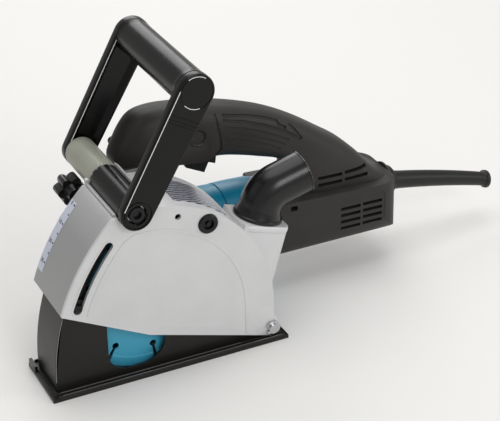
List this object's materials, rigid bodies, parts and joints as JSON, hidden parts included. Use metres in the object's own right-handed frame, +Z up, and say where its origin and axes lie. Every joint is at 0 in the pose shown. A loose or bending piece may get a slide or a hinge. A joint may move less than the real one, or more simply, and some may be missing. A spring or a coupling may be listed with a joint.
{
  "type": "wall chaser",
  "caption": "Hand-held wall chaser with diamond wheels in a hinged cover over a sliding shoe, a side-mounted motor with a loop handle, a front bail handle and a swivelling dust nozzle.",
  "frame": {"origin": "on the sole's face, below the rear pivot, near the middle of the wheel cover's width", "axes": "+X forward along the cut, +Y to the removable side of the wheel cover, away from the motor, +Z up from the sole"},
  "size_m": [0.454, 0.1404, 0.2505],
  "materials": {
    "black_steel": "black powder coat on steel plate",
    "silver_casting": "light silver paint on a die casting",
    "bare_casting": "bead-blasted die casting",
    "bright_steel": "turned and ground steel",
    "black_bolt": "black oxide steel",
    "gear_steel": "hardened steel, oiled",
    "handle_black": "satin to gloss black",
    "nozzle_black": "gloss black moulding",
    "knob_black": "moulded black plastic",
    "shell_grey": "fine-textured dark grey moulding",
    "switch_black": "smooth black moulding",
    "teal_plastic": "satin teal moulding",
    "wheel_teal": "light teal paint on a steel disc",
    "rubber_black": "matte rubber",
    "plate_foil": "printed silver foil",
    "scale_foil": "pale printed strip",
    "core_steel": "varnished lamination stack",
    "copper": "turned copper",
    "brass": "stamped brass",
    "carbon": "pressed carbon",
    "fan_plastic": "natural moulding"
  },
  "bodies": {
    "shoe": {"base_shoe": "black_steel", "pivot_pin": "bright_steel", "pivot_clips": "black_bolt", "pivot_spring": "bright_steel", "guide_pins": "black_bolt"},
    "machine": {"wheel_cover": "silver_casting", "side_cover": "silver_casting", "side_cover_screws": "black_bolt", "cover_flange_screws": "bright_steel", "name_plate": "plate_foil", "depth_scale": "scale_foil", "gear_housing": "bare_casting", "bearing_box": "bare_casting", "housing_screws": "black_bolt", "spindle_bearing_near": "bright_steel", "spindle_bearing_far": "bright_steel", "armature_bearing_front": "bright_steel", "armature_bearing_rear": "bright_steel", "field_stator": "core_steel", "field_housing": "teal_plastic", "brush_holders": "brass", "carbon_brushes": "carbon", "handle_shell_near": "shell_grey", "handle_shell_far": "shell_grey", "shell_screws": "black_bolt", "switch_body": "switch_black", "trigger_pin": "bright_steel", "cord_guard": "rubber_black"},
    "depth_stop": {"depth_stop": "black_steel", "depth_stop_stud": "bright_steel"},
    "depth_knob": {"depth_knob": "knob_black"},
    "front_handle": {"handle_arm_near": "handle_black", "handle_arm_far": "handle_black", "handle_grip": "handle_black", "handle_rod": "bright_steel", "handle_boss": "handle_black", "handle_axle": "bright_steel", "handle_bolts": "black_bolt"},
    "nozzle": {"dust_nozzle": "nozzle_black", "nozzle_seal": "rubber_black"},
    "spindle_group": {"spindle": "bright_steel", "crown_gear": "gear_steel", "inner_flange": "bright_steel", "wheel_far": "wheel_teal", "wheel_spacers": "bright_steel", "wheel_near": "wheel_teal", "lock_nut": "black_bolt"},
    "armature": {"armature_shaft": "bright_steel", "armature_core": "core_steel", "commutator": "copper", "cooling_fan": "fan_plastic", "pinion": "gear_steel"},
    "shaft_lock": {"shaft_lock_button": "switch_black"},
    "trigger": {"trigger": "switch_black"},
    "lock_off": {"lock_off_button": "switch_black"}
  },
  "joints": [
    {"name": "cover_swing", "type": "hinge", "parent": "shoe", "child": "machine", "pos_m": [0, 0, 0.011], "axis": [0, 1, 0], "range_deg": [0, 16.8], "stiffness_Nm_per_rad": 4, "springref_deg": -40.11},
    {"name": "depth_stop_slide", "type": "hinge", "parent": "machine", "child": "depth_stop", "pos_m": [0, 0, 0.011], "axis": [0, 1, 0], "range_deg": [0, 16.8]},
    {"name": "depth_knob_turn", "type": "hinge", "parent": "depth_stop", "child": "depth_knob", "pos_m": [0.13017, -0.058, 0.12616], "axis": [0, 1, 0], "range_deg": [-360, 0]},
    {"name": "front_handle_tilt", "type": "hinge", "parent": "machine", "child": "front_handle", "pos_m": [0.113, 0, 0.1465], "axis": [0, 1, 0], "range_deg": [0, 60]},
    {"name": "nozzle_swivel", "type": "hinge", "parent": "machine", "child": "nozzle", "pos_m": [-0.0032, -0.0035, 0.097], "axis": [-0.2924, 0, 0.9563], "range_deg": [-25, 45]},
    {"name": "spindle_spin", "type": "hinge", "parent": "machine", "child": "spindle_group", "pos_m": [0.1056, 0, 0.0656], "axis": [0, 1, 0], "continuous": true},
    {"name": "armature_spin", "type": "hinge", "parent": "machine", "child": "armature", "pos_m": [0.1056, -0.07, 0.0656], "axis": [0.9984, 0, 0.0558], "continuous": true},
    {"name": "shaft_lock_press", "type": "slide", "parent": "machine", "child": "shaft_lock", "axis": [0, 0, -1], "range_m": [0, 0.004], "stiffness_N_per_m": 400, "springref_m": -0.004},
    {"name": "trigger_pull", "type": "hinge", "parent": "machine", "child": "trigger", "pos_m": [0.033, -0.07, 0.1317], "axis": [0, 1, 0], "range_deg": [0, 8], "stiffness_Nm_per_rad": 0.6, "springref_deg": -11.46},
    {"name": "lock_off_press", "type": "slide", "parent": "machine", "child": "lock_off", "axis": [0, -1, 0], "range_m": [0, 0.003], "stiffness_N_per_m": 300, "springref_m": -0.003}
  ],
  "couplings": [
    {"joint": "armature_spin", "follows": "spindle_spin", "ratio": 3.25}
  ]
}
